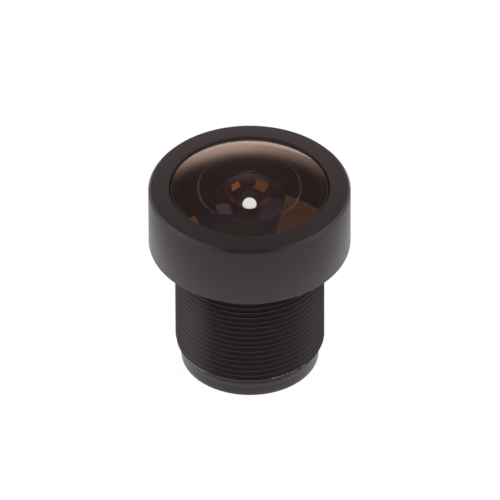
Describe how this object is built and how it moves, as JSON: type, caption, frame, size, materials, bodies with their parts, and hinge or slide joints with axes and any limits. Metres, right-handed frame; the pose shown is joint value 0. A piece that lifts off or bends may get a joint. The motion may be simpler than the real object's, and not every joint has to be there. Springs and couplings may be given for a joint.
{
  "type": "m12 board camera lens",
  "caption": "Wide-angle M12 board camera lens with black anodised barrel, domed glass front element and fixed iris.",
  "frame": {"origin": "centre of the rear end face, on the optical axis", "axes": "+Z along the optical axis, from the rear end towards the domed front element; X and Y across it"},
  "size_m": [0.0162, 0.0162, 0.0186],
  "materials": {
    "black_anodised_aluminium": "black anodised, fine satin",
    "inner_black_aluminium": "black anodised, matte",
    "coated_glass": "polished, with reflection-reducing coating",
    "filter_glass": "polished, pale blue-green infrared filter coating",
    "black_film": "matte black film",
    "black_rubber": "matte"
  },
  "bodies": {
    "root": {"barrel": "black_anodised_aluminium", "front_retaining_ring": "black_anodised_aluminium", "front_element": "coated_glass", "front_seal": "black_rubber", "front_light_shield": "black_film", "second_element": "coated_glass", "tube_light_shield": "black_film", "front_spacer": "inner_black_aluminium", "third_element": "coated_glass", "aperture_stop": "black_film", "stop_spacer": "inner_black_aluminium", "fourth_element": "coated_glass", "upper_spacer": "inner_black_aluminium", "middle_light_shield": "black_film", "middle_spacer": "inner_black_aluminium", "fifth_element": "coated_glass", "sixth_element": "coated_glass", "pair_cup": "inner_black_aluminium", "rear_light_shield": "black_film", "rear_spacer": "inner_black_aluminium", "seventh_element": "coated_glass", "filter_spacer": "inner_black_aluminium", "ir_cut_filter": "filter_glass", "rear_retaining_ring": "black_anodised_aluminium"}
  },
  "joints": []
}
